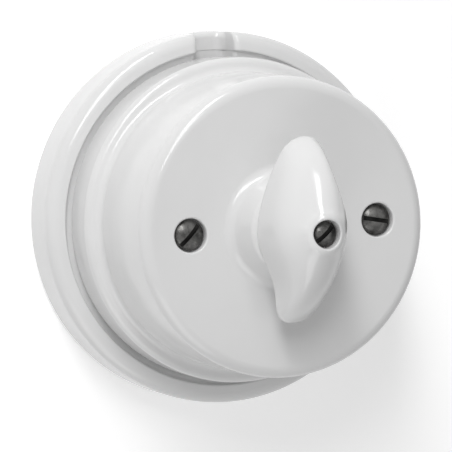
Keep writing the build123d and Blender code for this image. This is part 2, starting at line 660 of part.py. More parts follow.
def knob_screw():
    """Slotted screw through the knob into the spindle's end."""
    length = knob_seat - spindle_end + KNOB_SCREW_REACH
    screw = slotted_screw(KNOB_SCREW, KNOB_SCREW_HEAD, KNOB_SCREW_HEAD_HEIGHT, HEAD_CROWN, length,
                          KNOB_SLOT_ANGLE)
    return Pos(0, 0, knob_seat) * screw


def all_pieces():
    """Every piece by its name, in the drawing position."""
    pieces = {
        "base_plate": base_plate(),
        "contact_block": contact_block(),
        "cover": cover(),
        "spindle": spindle(),
        "thrust_washer": thrust_washer(),
        "switch_drum": switch_drum(),
        "contact_bar": contact_bar(),
        "index_cam": index_cam(),
        "bearing_bridge": bearing_bridge(),
        "retaining_clip": retaining_clip(),
        "knob": knob(),
        "knob_washer": knob_washer(),
        "knob_screw": knob_screw(),
    }
    for name, side in BOTH_SIDES.items():
        at_screw = Pos(side * cover_screw_offset, 0, 0)
        pieces[f"cover_pillar_{name}"] = at_screw * cover_pillar()
        pieces[f"cover_screw_{name}"] = at_screw * cover_screw(COVER_SLOT_ANGLES[name])
        cross = CONTACT_ANGLE - side * 90
        pieces[f"block_screw_{name}"] = around(cross, block_screw_offset, block_screw())
        pieces[f"block_nut_{name}"] = around(cross, block_screw_offset, block_nut())
        pieces[f"bridge_post_{name}"] = around(cross, BRIDGE_POST_OFFSET, bridge_post())
        pieces[f"bridge_screw_{name}"] = around(cross, BRIDGE_POST_OFFSET, bridge_screw())
        leaf = Rot(0, 0, CONTACT_ANGLE if side > 0 else CONTACT_ANGLE + 180)
        pieces[f"index_spring_{name}"] = leaf * index_spring()
        for level, end in {"lower": -1, "upper": 1}.items():
            pieces[f"spring_post_{name}_{level}"] = spring_post_place(side, end) * spring_post()
    for name, turn in CONTACTS.items():
        outwards = Rot(0, 0, CONTACT_ANGLE + turn)
        pieces[f"contact_spring_{name}"] = outwards * contact_spring()
        at_terminal = outwards * Pos(terminal_offset, 0, 0)
        pieces[f"terminal_{name}"] = at_terminal * terminal()
        pieces[f"terminal_screw_{name}"] = at_terminal * terminal_screw()
        pieces[f"terminal_fixing_screw_{name}"] = at_terminal * terminal_fixing_screw()
    return pieces


def main():
    os.makedirs("parts", exist_ok=True)
    upright = Rot(90, 0, 0)
    for name, piece in all_pieces().items():
        export_step(upright * piece, f"parts/{name}.step")


main()
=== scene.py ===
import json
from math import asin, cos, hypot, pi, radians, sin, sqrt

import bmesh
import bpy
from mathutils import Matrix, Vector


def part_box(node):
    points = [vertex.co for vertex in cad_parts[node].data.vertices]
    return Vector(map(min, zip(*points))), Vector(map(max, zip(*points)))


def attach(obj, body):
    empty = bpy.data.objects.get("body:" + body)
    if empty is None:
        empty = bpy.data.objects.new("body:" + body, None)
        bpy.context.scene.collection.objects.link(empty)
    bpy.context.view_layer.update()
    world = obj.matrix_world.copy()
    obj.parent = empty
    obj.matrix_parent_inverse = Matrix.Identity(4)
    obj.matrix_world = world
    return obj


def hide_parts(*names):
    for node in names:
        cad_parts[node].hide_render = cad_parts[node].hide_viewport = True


bl_info = {
    "name": "Porcelain Rotary Switch",
    "version": (1, 0, 0),
    "blender": (4, 5, 0),
    "location": "View3D > Sidebar > Switch",
    "description": "Glazed porcelain rotary light switch with aged screws, on a wall in soft studio light",
    "category": "Object",
}

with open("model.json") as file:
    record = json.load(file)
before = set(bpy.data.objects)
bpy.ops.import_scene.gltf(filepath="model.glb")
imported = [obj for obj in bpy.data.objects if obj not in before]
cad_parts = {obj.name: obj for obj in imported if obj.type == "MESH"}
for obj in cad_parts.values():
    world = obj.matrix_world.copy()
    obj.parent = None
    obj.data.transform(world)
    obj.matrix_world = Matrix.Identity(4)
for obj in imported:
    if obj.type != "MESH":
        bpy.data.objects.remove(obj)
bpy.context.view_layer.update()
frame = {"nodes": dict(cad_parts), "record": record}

# The switch is on the wall plane y = 0 and faces -Y. A height is a distance from the wall: y = -height.
MM = 0.001
AROUND = 288              # steps in a full turn of the porcelain
AROUND_HOLE = 96          # steps in a full turn of a hole or a recess
AROUND_HEAD = 128         # steps in a full turn of a screw or of its counterbore
ARC_STEP = radians(7.5)   # turn of one step in the rounding of a corner
QUARTER_STEPS = 8         # steps in a rounding that is worked out as a quarter of a circle
MERGED = 1e-7             # points closer than this, in metres, are one


def low(node):
    """The wall-side height of a node."""
    return -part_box(node)[1][1]


def high(node):
    """The front height of a node."""
    return -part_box(node)[0][1]


def wide(node):
    """The width of a node along X."""
    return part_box(node)[1][0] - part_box(node)[0][0]


def middle(node):
    """The middle of a node across the wall, as x and z."""
    lowest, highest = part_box(node)
    return (lowest[0] + highest[0]) / 2, (lowest[2] + highest[2]) / 2


def length(name, value, description):
    """A size written in millimetres that the panel shows as a length."""
    return bpy.props.FloatProperty(
        name=name, description=description, default=value * MM, min=0.0, precision=5, unit="LENGTH")


def share(name, value, description):
    """A number from 0 to 1."""
    return bpy.props.FloatProperty(name=name, description=description, default=value, min=0.0, max=1.0)


def colour(name, value, description):
    """A colour swatch."""
    return bpy.props.FloatVectorProperty(
        name=name, description=description, default=value, size=3, subtype="COLOR", min=0.0, max=1.0)


def turn_angle(name, value, description):
    """An angle given in degrees."""
    return bpy.props.FloatProperty(
        name=name, description=description, default=radians(value), subtype="ANGLE")


class SwitchSizes(bpy.types.PropertyGroup):
    """Sizes of the turned porcelain and of the screws."""
    rim_wall: length("Rim wall", 4.5, "Thickness of the base's raised rim")
    rim_outer_round: length("Rim outer round", 2.8, "Rounding of the rim's outer edge")
    rim_inner_round: length("Rim inner round", 0.5, "Rounding of the rim's inner edge")
    seat_reach: length("Seat reach", 0.9, "How far the base's seat reaches in under the cover's edge")
    seat_gap: length("Seat gap", 0.05, "Room between the cover's edge and the base's seat")
    seat_round: length("Seat round", 0.2, "Rounding of the seat's inner edge")
    groove_fillet: length("Groove fillet", 0.6, "Fillet between the seat and the rim")
    floor_round: length("Floor round", 1.5, "How far the dish's floor reaches in under the contact block")
    base_floor: length("Base floor", 6.0, "Thickness of the dish's floor")
    back_round: length("Back round", 0.8, "Rounding of the base's back edge")
    notch_width: length("Notch width", 9.0, "Width of the cable notch")
    notch_sill: length("Notch sill", 0.6, "Height of the notch's floor over the dish's floor")
    notch_mouth_round: length("Notch mouth round", 1.4, "Rounding of the notch's front edges")
    notch_foot_round: length("Notch foot round", 2.8, "Fillet along the notch's floor")
    notch_draft: length("Notch draft", 0.3, "How much each side wall of the notch leans back")
    flange_height: length("Flange height", 11.8, "From the cover's lower edge to its shoulder")
    ledge_width: length("Ledge width", 3.5, "Step from the flange in to the drum wall")
    cover_wall: length("Cover wall", 4.5, "Thickness of the cover's wall")
    cover_face: length("Cover face", 5.0, "Thickness of the cover's face")
    collar_height: length("Collar height", 7.3, "From the cover's face to the collar's top")
    edge_round: length("Edge round", 1.3, "Rounding of the cover's lower edge")
    shoulder_round: length("Shoulder round", 1.7, "Rounding of the flange's shoulder")
    ledge_fillet: length("Ledge fillet", 1.8, "Fillet between the ledge and the drum wall")
    ledge_slope: length("Ledge slope", 0.4, "Rise of the ledge towards the drum wall")
    drum_taper: length("Drum taper", 0.3, "How much the drum wall comes in towards the face")
    face_round: length("Face round", 3.0, "Rounding of the face's edge")
    inside_round: length("Inside round", 1.0, "Rounding of the cover's hidden corners")
    collar_top: length("Collar top", 21.0, "Diameter of the collar under the knob")
    collar_foot: length("Collar foot", 27.0, "Diameter of the collar where it meets the face")
    collar_top_round: length("Collar top round", 2.0, "Rounding of the collar's top edge")
    collar_fillet: length("Collar fillet", 3.0, "Fillet between collar and face")
    spindle_hole: length("Spindle hole", 6.2, "Diameter of the hole for the spindle")
    recess_gap: length("Recess gap", 0.3, "Radial room round a cover screw's head")
    recess_depth: length("Recess depth", 2.3, "Depth of a cover screw's recess")
    recess_round: length("Recess round", 0.5, "Softness of the recess's mouth")
    cover_screw: length("Cover screw", 4.0, "Diameter of the cover screws")
    knob_screw: length("Knob screw", 3.0, "Diameter of the knob screw")
    screw_gap: length("Screw gap", 0.25, "Radial room round a screw that passes through")
    wall_screw_spacing: length("Wall screw spacing", 50.0, "Between the two wall screw holes")
    wall_screw_hole: length("Wall screw hole", 5.0, "Diameter of a wall screw hole")
    nut_gap: length("Nut gap", 0.3, "Room round a nut in its pocket")
    slot_width: length("Screw slot", 1.0, "Width of the screwdriver slots")
    slot_depth: length("Slot depth", 0.9, "Depth of the screwdriver slots")
    head_crown: length("Head crown", 1.2, "Rise of a screw head's dome")
    head_round: length("Head round", 0.3, "Rounding of a screw head's edge")


class SwitchKnobShape(bpy.types.PropertyGroup):
    """Shape of the S-shaped wing."""
    hub_width: length("Hub width", 20.4, "Width of the outline across the screw")
    tip_width: length("Tip width", 8.25, "Width of the outline near the tips")
    sweep: length("Sweep", 2.5, "Sideways bend of the outline at each tip")
    crest_sweep: length("Crest sweep", 3.2, "Sideways bend of the crest")
    bend_end: share("Bend end", 0.68, "Share of the half length where the crest's bend is full")
    crest_room: share("Crest room", 0.72, "Share of the half width that the crest may leave the middle by")
    neck_end: share("Neck end", 0.71, "Share of the half length where the hollow side has come in")
    long_side: bpy.props.FloatProperty(
        name="Long side", default=1.6, description="How late the full side tapers")
    arch_fall: share("Arch fall", 0.79, "How fast the crest falls towards the tips")
    fullness: bpy.props.FloatProperty(
        name="Fullness", default=2.02, description="2 makes each flank a quarter of an ellipse")
    tip_bluntness: bpy.props.IntProperty(name="Tip bluntness", default=16, description="Higher is blunter")
    tip_flat: share("Tip flat", 0.995, "Share of the half length that the solid's sections reach")
    rise: length("Rise", 19.2, "From the knob's underside to its crest, with the screw hole left out")
    edge_round: length("Edge round", 0.6, "Rounding of the underside's edge")
    softening: bpy.props.IntProperty(
        name="Softening", default=150, min=0, description="Passes that ease the ridge")
    screw_bore: length("Screw bore", 6.5, "Diameter of the counterbore for the knob screw")
    bore_depth: length("Bore depth", 4.6, "Depth of the counterbore under the crest")
    lip: length("Lip", 0.7, "Rounding of the counterbore's mouth")
    socket: length("Socket", 3.6, "Side of the square socket for the spindle")


class SwitchFinish(bpy.types.PropertyGroup):
    """Colours of the finishes."""
    glaze: colour("Glaze", (0.78, 0.78, 0.78), "White glaze")
    # The nickel is darker than its tarnish alone would make it: painted shade that stands for dark
    # surroundings seen in its reflections.
    nickel: colour("Nickel", (0.15, 0.148, 0.144), "Dulled nickel of the visible screws")
    brass: colour("Brass", (0.62, 0.45, 0.18), "Brass of pillars and terminals")
    bronze: colour("Bronze", (0.55, 0.33, 0.16), "Spring bronze")
    steel: colour("Steel", (0.45, 0.45, 0.44), "Turned steel")
    steatite: colour("Steatite", (0.72, 0.68, 0.58), "Unglazed steatite")
    fibre: colour("Fibre", (0.20, 0.05, 0.03), "Pressed fibre")


class SwitchStudio(bpy.types.PropertyGroup):
    """Camera and light."""
    yaw: turn_angle("Yaw", 20.4521, "How far the camera stands to the left of the switch's axis")
    pitch: turn_angle("Pitch", 4.764, "How far the camera stands above the switch's axis")
    roll: turn_angle("Roll", -3.0326, "Turn of the picture")
    distance: length("Distance", 900.0, "From the target to the camera")
    focal_pixels: bpy.props.FloatProperty(
        name="Focal length in pixels", default=3750.8, description="For a picture 452 pixels wide")
    target: bpy.props.FloatVectorProperty(
        name="Target", size=3, default=(-2.25 * MM, -20.0 * MM, -1.405 * MM), subtype="TRANSLATION",
        description="Point that the camera looks at")
    ambient: bpy.props.FloatProperty(
        name="Ambient", default=0.32, description="Strength of the white light of the room")
    wall_lift: share("Wall lift", 0.36, "Own light of the wall where it is seen, so that it shows white")


SETTINGS = {
    "switch_sizes": SwitchSizes,
    "switch_knob_shape": SwitchKnobShape,
    "switch_finish": SwitchFinish,
    "switch_studio": SwitchStudio,
}
PICTURE_WIDTH = 452       # pixels
SENSOR = 36.0             # millimetres


def corner_arc(start, corner, end, radius):
    """Points along the rounding of one corner."""
    back, ahead = (start - corner).normalized(), (end - corner).normalized()
    bend = pi - back.angle(ahead)
    reach = radius * sin(bend / 2) / cos(bend / 2)
    centre = corner + (back + ahead).normalized() * hypot(radius, reach)
    spoke = corner + back * reach - centre
    side = 1 if back.cross(ahead) < 0 else -1
    steps = max(3, round(bend / ARC_STEP))
    return [centre + Matrix.Rotation(side * bend * step / steps, 2) @ spoke for step in range(steps + 1)]


def rounded(points, rounds):
    """An outline of (radius, height) points with each corner rounded by its own radius."""
    outline = []
    for index, radius in enumerate(rounds):
        corner = Vector(points[index])
        if radius:
            ahead = Vector(points[(index + 1) % len(points)])
            outline += corner_arc(Vector(points[index - 1]), corner, ahead, radius)
        else:
            outline.append(corner)
    return outline


def quarter_turn():
    """Angles from nothing to a right angle."""
    return [pi / 2 * step / QUARTER_STEPS for step in range(QUARTER_STEPS + 1)]


def close(shape):
    """Merge what coincides and point the faces outwards."""
    bmesh.ops.remove_doubles(shape, verts=shape.verts, dist=MERGED)
    bmesh.ops.recalc_face_normals(shape, faces=shape.faces)
    return shape


def turned(points, rounds, steps=AROUND):
    """A solid turned about the switch's axis from a closed outline, or one with both ends on the axis."""
    outline = rounded(points, rounds)
    on_axis = points[0][0] == 0 and points[-1][0] == 0
    shape = bmesh.new()
    verts = [shape.verts.new((0, -height, radius)) for radius, height in outline]
    for first, second in zip(verts, verts[1:] if on_axis else verts[1:] + verts[:1]):
        shape.edges.new((first, second))
    bmesh.ops.spin(
        shape, geom=shape.verts[:] + shape.edges[:], cent=(0, 0, 0), axis=(0, 1, 0), dvec=(0, 0, 0),
        angle=2 * pi, steps=steps, use_merge=True, use_duplicate=False)
    return close(shape)


def draped(columns, rows, place):
    """A grid of faces with each point put in place by its column and row."""
    shape = bmesh.new()
    bmesh.ops.create_grid(shape, x_segments=columns, y_segments=rows, size=1)
    for vert in shape.verts:
        vert.co = place(round((vert.co.x + 1) / 2 * columns), round((vert.co.y + 1) / 2 * rows))
    return shape


def fill_openings(shape):
    """Close each open edge loop with one flat face."""
    bmesh.ops.remove_doubles(shape, verts=shape.verts, dist=MERGED)
    open_edges = [edge for edge in shape.edges if edge.is_boundary]
    bmesh.ops.holes_fill(shape, edges=open_edges, sides=0)
    return close(shape)


def moved(shape, place=(0, 0), tilt=0.0):
    """Turn a bmesh about the switch's axis, clockwise from the front, and slide it across the wall."""
    x, z = place
    matrix = Matrix.Translation((x, 0, z)) @ Matrix.Rotation(tilt, 4, "Y")
    bmesh.ops.transform(shape, matrix=matrix, verts=shape.verts)
    return shape


def rod(diameter, low_height, high_height, sides=AROUND_HOLE):
    """A plain bar along the axis between two heights."""
    shape = bmesh.new()
    centre = Matrix.Translation((0, -(low_height + high_height) / 2, 0))
    bmesh.ops.create_cone(
        shape, cap_ends=True, segments=sides, radius1=diameter / 2, radius2=diameter / 2,
        depth=high_height - low_height, matrix=centre @ Matrix.Rotation(pi / 2, 4, "X"))
    return shape


def block(size_x, size_z, low_height, high_height):
    """A plain block centred on the axis between two heights."""
    shape = bmesh.new()
    centre = Matrix.Translation((0, -(low_height + high_height) / 2, 0))
    size = Matrix.Diagonal((size_x, high_height - low_height, size_z, 1))
    bmesh.ops.create_cube(shape, size=1, matrix=centre @ size)
    return shape


def as_object(name, shape):
    """An object that holds the bmesh."""
    mesh = bpy.data.meshes.new(name)
    shape.to_mesh(mesh)
    shape.free()
    piece = bpy.data.objects.new(name, mesh)
    bpy.context.scene.collection.objects.link(piece)
    return piece


def cut(piece, *cutters):
    """Take the cutters' shapes out of the piece for good."""
    tools = [as_object("cutter", shape) for shape in cutters]
    for tool in tools:
        boolean = piece.modifiers.new("cut", "BOOLEAN")
        boolean.operation = "DIFFERENCE"
        boolean.solver = "EXACT"
        boolean.object = tool
    solid = bpy.data.meshes.new_from_object(piece.evaluated_get(bpy.context.evaluated_depsgraph_get()))
    if not solid.polygons:
        raise RuntimeError(f"cutting {piece.name} left nothing")
    piece.modifiers.clear()
    piece.data = solid
    for tool in tools:
        bpy.data.objects.remove(tool)


def body_of_node(node):
    """The body that holds a node."""
    bodies = frame["record"]["behaviour"]["bodies"]
    return next(body for body, nodes in bodies.items() if node in nodes)


def slot_of_node(node):
    """The record's material slot of a node."""
    return next(part["material_slot"] for part in frame["record"]["subparts"] if part["node"] == node)


def seat(piece, node, context, sharp=40):
    """Shade and paint a piece and let it stand for its node."""
    mesh = piece.data
    mesh.shade_smooth()
    mesh.set_sharp_from_angle(angle=radians(sharp))
    mesh.materials.clear()
    mesh.materials.append(finish_for(slot_of_node(node), context))
    even = piece.modifiers.new("even light", "WEIGHTED_NORMAL")
    even.keep_sharp = True
    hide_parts(node)
    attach(piece, body_of_node(node))


class Finish:
    """A node material in the making."""

    def __init__(self, name):
        self.material = bpy.data.materials.new(name)
        self.material.use_nodes = True
        self.nodes = self.material.node_tree.nodes
        self.links = self.material.node_tree.links
        self.shader = self.nodes["Principled BSDF"]
        self.place = self.nodes.new("ShaderNodeTexCoord").outputs["Object"]

    def noise(self, scale, detail=2.0, roughness=0.5):
        """Noise over the object's own coordinates, in features to the metre."""
        noise = self.nodes.new("ShaderNodeTexNoise")
        noise.inputs["Scale"].default_value = scale
        noise.inputs["Detail"].default_value = detail
        noise.inputs["Roughness"].default_value = roughness
        self.links.new(self.place, noise.inputs["Vector"])
        return noise.outputs["Fac"]

    def spread(self, source, low_end, high_end, low_value=0.0, high_value=1.0):
        """Map a value between two ends to another range."""
        node = self.nodes.new("ShaderNodeMapRange")
        node.inputs["From Min"].default_value = low_end
        node.inputs["From Max"].default_value = high_end
        node.inputs["To Min"].default_value = low_value
        node.inputs["To Max"].default_value = high_value
        self.links.new(source, node.inputs["Value"])
        return node.outputs["Result"]

    def blend(self, source, first, second):
        """A colour between two, led by a value."""
        node = self.nodes.new("ShaderNodeMixRGB")
        node.inputs["Color1"].default_value = (*first, 1)
        node.inputs["Color2"].default_value = (*second, 1)
        self.links.new(source, node.inputs["Fac"])
        return node.outputs["Color"]

    def bump(self, source, height, under=None):
        """Surface relief of a height in metres."""
        node = self.nodes.new("ShaderNodeBump")
        node.inputs["Distance"].default_value = height
        self.links.new(source, node.inputs["Height"])
        if under:
            self.links.new(under, node.inputs["Normal"])
        return node.outputs["Normal"]

    def feed(self, output, socket):
        """Link an output to the shader."""
        self.links.new(output, self.shader.inputs[socket])


def shaded(tone, factor):
    """A colour made lighter or darker."""
    return tuple(min(1.0, part * factor) for part in tone)


def glaze(name, tone):
    """White glaze: glossy, with the slow waves and the faint clouding of fired glass."""
    finish = Finish(name)
    cloud = finish.spread(finish.noise(45, 3), 0.35, 0.65)
    finish.feed(finish.blend(cloud, shaded(tone, 0.985), shaded(tone, 1.015)), "Base Color")
    finish.feed(finish.spread(finish.noise(160), 0.3, 0.7, 0.10, 0.18), "Roughness")
    waves = finish.bump(finish.noise(80, 1), 0.16 * MM)
    finish.feed(finish.bump(finish.noise(900, 1), 0.008 * MM, waves), "Normal")
    finish.shader.inputs["IOR"].default_value = 1.5
    return finish.material


def worn_metal(name, tone, dark, polish):
    """Metal with tarnish, fine marks and uneven polish."""
    finish = Finish(name)
    tarnish = finish.spread(finish.noise(420, 5, 0.65), 0.35, 0.65)
    finish.feed(finish.blend(tarnish, shaded(tone, dark), tone), "Base Color")
    finish.feed(finish.spread(finish.noise(900, 3), 0.3, 0.7, polish, polish + 0.2), "Roughness")
    marks = finish.bump(finish.noise(1500, 4, 0.6), 0.03 * MM)
    finish.feed(finish.bump(finish.noise(350), 0.05 * MM, marks), "Normal")
    finish.shader.inputs["Metallic"].default_value = 1.0
    return finish.material


def dull_body(name, tone, roughness, grain):
    """Unglazed ceramic or pressed fibre."""
    finish = Finish(name)
    cloud = finish.spread(finish.noise(300, 4, 0.6), 0.3, 0.7)
    finish.feed(finish.blend(cloud, shaded(tone, 0.9), shaded(tone, 1.08)), "Base Color")
    finish.feed(finish.spread(finish.noise(700), 0.3, 0.7, roughness - 0.08, roughness + 0.08), "Roughness")
    finish.feed(finish.bump(finish.noise(grain, 3), 0.03 * MM), "Normal")
    return finish.material


MADE = {}                 # each finish by its name, once it is made


def finish_for(slot, context):
    """The material of one of the record's slots, made when it is first asked for."""
    tones = context.scene.switch_finish
    makers = {
        "porcelain": lambda: glaze("porcelain", tones.glaze),
        "aged_nickel": lambda: worn_metal("aged_nickel", tones.nickel, 0.35, 0.22),
        "screw_steel": lambda: worn_metal("screw_steel", tones.steel, 0.7, 0.28),
        "spindle_steel": lambda: worn_metal("spindle_steel", tones.steel, 0.85, 0.22),
        "brass": lambda: worn_metal("brass", tones.brass, 0.75, 0.2),
        "spring_bronze": lambda: worn_metal("spring_bronze", tones.bronze, 0.75, 0.25),
        "steatite": lambda: dull_body("steatite", tones.steatite, 0.6, 1200),
        "fibre": lambda: dull_body("fibre", tones.fibre, 0.65, 2000),
    }
    return MADE.get(slot) or MADE.setdefault(slot, makers[slot]())


def dish_outline(sizes, rim_height):
    """The base's outline from its floor over the cover's seat and a rim of some height to its back."""
    inner = wide("contact_block") / 2 - sizes.floor_round
    outer = wide("base_plate") / 2
    edge = outer - sizes.rim_wall
    nest = wide("cover") / 2 - sizes.seat_reach
    floor, top = sizes.base_floor, high("base_plate")
    full = (rim_height - floor) / (top - floor)
    seat_height = rim_height - (top - low("cover") + sizes.seat_gap) * full
    points = [
        (inner, floor), (nest, floor), (nest, seat_height), (edge, seat_height), (edge, rim_height),
        (outer, rim_height), (outer, 0), (inner, 0),
    ]
    rounds = [
        0, sizes.seat_round * full, sizes.seat_round * full, sizes.groove_fillet * full,
        sizes.rim_inner_round * full, sizes.rim_outer_round * (1 + full) / 2, sizes.back_round, 0,
    ]
    return rounded(points, rounds)


NOTCH_FLOOR_PARTS = (0, 0.25, 0.5, 0.75)   # shares of the way from the notch's middle to its fillet
NOTCH_WALL_PARTS = (0.3, 0.7)              # shares of the way up the notch's side wall
NOTCH_MARGIN = 1.5                         # the columns end this many mouth roundings past the wall


def notch_stations(sizes):
    """From the notch's middle outwards: distance from the middle and the rim's height there."""
    half = sizes.notch_width / 2
    top, sill = high("base_plate"), sizes.base_floor + sizes.notch_sill
    mouth, foot, draft = sizes.notch_mouth_round, sizes.notch_foot_round, sizes.notch_draft
    wall_foot, wall_top = sill + foot, top - mouth
    stations = [((half - foot) * part, sill) for part in NOTCH_FLOOR_PARTS]
    stations += [
        (half - foot * (1 - sin(lean)), sill + foot * (1 - cos(lean))) for lean in quarter_turn()]
    stations += [
        (half + draft * part, wall_foot + (wall_top - wall_foot) * part) for part in NOTCH_WALL_PARTS]
    stations += [
        (half + draft + mouth * (1 - cos(lean)), wall_top + mouth * sin(lean)) for lean in quarter_turn()]
    return stations + [(half + draft + NOTCH_MARGIN * mouth, top)]


def base_shape(sizes):
    """Porcelain dish: columns of faces across the cable notch, then round the rest of the rim."""
    right_side = notch_stations(sizes)
    across = [(-x, height) for x, height in reversed(right_side[1:])] + right_side
    plain = dish_outline(sizes, high("base_plate"))
    swing = asin(across[-1][0] / plain[0].x) + 2 * pi / AROUND
    turns = [swing + (2 * pi - 2 * swing) * step / AROUND for step in range(AROUND + 1)]
    outlines = [dish_outline(sizes, height) for _, height in across]

    def place(column, row):
        if column < len(across) or column == len(across) + len(turns):
            column %= len(across) + len(turns)
            radius, height = outlines[column][row]
            x = across[column][0]
            return Vector((x, -height, sqrt(radius ** 2 - x ** 2)))
        radius, height = plain[row]
        turn = turns[column - len(across)]
        return Vector((radius * sin(turn), -height, radius * cos(turn)))

    return fill_openings(draped(len(across) + len(turns), len(plain) - 1, place))


NUT_SIDES = 6
NUT_TILT = radians(15)    # how far the nuts and their pockets are turned
NUT_HALF_SIDE = pi / NUT_SIDES


class SWITCH_OT_base(bpy.types.Operator):
    """Porcelain base plate with its rim, cable notch, wall screw holes and nut pockets."""
    bl_idname = "switch.base"
    bl_label = "Base plate"

    def execute(self, context):
        sizes = context.scene.switch_sizes
        piece = as_object("base_plate_glazed", base_shape(sizes))
        beyond, through = -sizes.base_floor, 2 * sizes.base_floor
        cutters = []
        for side in (-1, 1):
            hole = rod(sizes.wall_screw_hole, beyond, through)
            cutters.append(moved(hole, (0, side * sizes.wall_screw_spacing / 2)))
        for node in ("block_nut_left", "block_nut_right"):
            across_corners = wide(node) / cos(NUT_TILT) + 2 * sizes.nut_gap / cos(NUT_HALF_SIDE)
            pocket = rod(across_corners, beyond, high(node), sides=NUT_SIDES)
            cutters.append(moved(pocket, middle(node), NUT_TILT))
            shank_hole = rod(sizes.cover_screw + 2 * sizes.screw_gap, beyond, through)
            cutters.append(moved(shank_hole, middle(node)))
        cut(piece, *cutters)
        seat(piece, "base_plate", context)
        return {"FINISHED"}


def cover_shape(sizes):
    """Porcelain cap: flange, drum wall, face and collar, hollow behind."""
    foot, top = low("cover"), high("cover")
    outer = wide("cover") / 2
    shoulder, face = foot + sizes.flange_height, top - sizes.collar_height
    drum = outer - sizes.ledge_width
    inside, ceiling = face - sizes.cover_face, shoulder - sizes.cover_wall
    points = [
        (outer - sizes.cover_wall, foot), (outer, foot), (outer, shoulder),
        (drum, shoulder + sizes.ledge_slope), (drum - sizes.drum_taper, face),
        (sizes.collar_foot / 2, face), (sizes.collar_top / 2, top), (sizes.spindle_hole / 2, top),
        (sizes.spindle_hole / 2, inside), (drum - sizes.cover_wall, inside),
        (drum - sizes.cover_wall, ceiling), (outer - sizes.cover_wall, ceiling),
    ]
    rounds = [
        sizes.inside_round / 2, sizes.edge_round, sizes.shoulder_round, sizes.ledge_fillet,
        sizes.face_round, sizes.collar_fillet, sizes.collar_top_round, sizes.inside_round / 2, 0,
        sizes.inside_round * 2, sizes.inside_round, sizes.inside_round,
    ]
    return turned(points, rounds)


RECESS_FLARE = 1.2        # width of a recess's flared mouth, in its roundings
FLARE_DIVISOR = 50        # the flare stands over the face by its rounding divided by this


def recess_cutter(sizes):
    """Room for a cover screw's head, with a flared mouth, and the hole for its shank."""
    face = high("cover") - sizes.collar_height
    wall = wide("cover_screw_left") / 2 + sizes.recess_gap
    shank = sizes.cover_screw / 2 + sizes.screw_gap
    over = face + sizes.recess_depth
    rim = face + sizes.recess_round / FLARE_DIVISOR
    mouth = wall + RECESS_FLARE * sizes.recess_round
    floor = face - sizes.recess_depth
    points = [
        (0, over), (mouth, over), (mouth, rim), (wall, rim), (wall, floor), (shank, floor),
        (shank, floor - sizes.cover_face), (0, floor - sizes.cover_face),
    ]
    return turned(points, [0, 0, 0, sizes.recess_round, sizes.recess_gap, 0, 0, 0], steps=AROUND_HOLE)


class SWITCH_OT_cover(bpy.types.Operator):
    """Porcelain cover with the collar and the two screw recesses."""
    bl_idname = "switch.cover"
    bl_label = "Cover"

    def execute(self, context):
        sizes = context.scene.switch_sizes
        piece = as_object("cover_glazed", cover_shape(sizes))
        screws = ("cover_screw_left", "cover_screw_right")
        cut(piece, *(moved(recess_cutter(sizes), middle(node)) for node in screws))
        seat(piece, "cover", context)
        return {"FINISHED"}


class Wing:
    """The knob's surface, from its shape settings: t runs along it from -1 to 1."""

    def __init__(self, shape):
        self.shape = shape
        lowest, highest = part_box("knob")
        self.half_length = (highest[2] - lowest[2]) / 2 / shape.tip_flat
        self.foot = low("knob")

    def edges(self, t):
        """Left and right edge of the plan at a share t of the half length."""
        shape, along = self.shape, abs(t)
        hub, tip = shape.hub_width / 2, shape.tip_width / 2
        full = hub + (tip - shape.sweep - hub) * along ** shape.long_side
        come_in = (1 - cos(pi * min(along / shape.neck_end, 1))) / 2
        hollow = hub + (tip + shape.sweep - hub) * come_in
        centre = (hollow - full) / 2
        half = (hollow + full) / 2 * sqrt(max(0.0, 1 - along ** shape.tip_bluntness))
        return (centre - half, centre + half) if t >= 0 else (-centre - half, -centre + half)

    def crest(self, t):
        """Sideways place and height of the crest."""
        shape = self.shape
        left, right = self.edges(t)
        bend = shape.crest_sweep * sin(min(abs(t) / shape.bend_end, 1) * pi / 2)
        room = (right - left) / 2 * shape.crest_room
        centre = (left + right) / 2
        place = max(centre - room, min(centre + room, bend if t >= 0 else -bend))
        return place, shape.rise * max(0.0, 1 - t * t) ** shape.arch_fall

    def flank(self, t, side, climb):
        """Point on one flank: climb is 0 to 1 round the underside's edge, then 1 to 2 up to the crest."""
        edge = self.edges(t)[0 if side < 0 else 1]
        place, rise = self.crest(t)
        power = 2 / self.shape.fullness
        soft = min(self.shape.edge_round, rise / 2, abs(edge - place) / 2)
        if climb <= 1:
            lean = climb * pi / 2
            height, tuck = soft * (1 - cos(lean)), soft * (1 - sin(lean))
        else:
            start = asin((soft / rise) ** (1 / power)) if rise else 0.0
            height, tuck = rise * sin(start + (pi / 2 - start) * (climb - 1)) ** power, 0.0
        fullness = self.shape.fullness
        out = max(0.0, 1 - (height / rise) ** fullness) ** (1 / fullness) if rise else 0.0
        x = place + (edge - place) * out - side * min(tuck, abs(edge - place))
        return Vector((x, -self.foot - height, t * self.half_length))

    def height_at(self, x, z):
        """Height of the crest side of the wing over a point of the plan."""
        t = z / self.half_length
        left, right = self.edges(t)
        place, rise = self.crest(t)
        away = (x - place) / ((left if x < place else right) - place)
        return self.foot + rise * (1 - away ** self.shape.fullness) ** (1 / self.shape.fullness)


WING_COLUMNS = 160        # steps along the knob
ROUND_ROWS = 5            # steps round the underside's edge
FLANK_ROWS = 34           # steps from there up to the crest
MOUTH_ROOM = 1.3          # how far the rebuilt crest reaches past the counterbore, in roundings of its mouth
MOUTH_SLACK = 0.001 * MM  # a point this close to the plain hole is on it
SOCKET_ROOM = 0.1 * MM    # from the spindle's end to the socket's


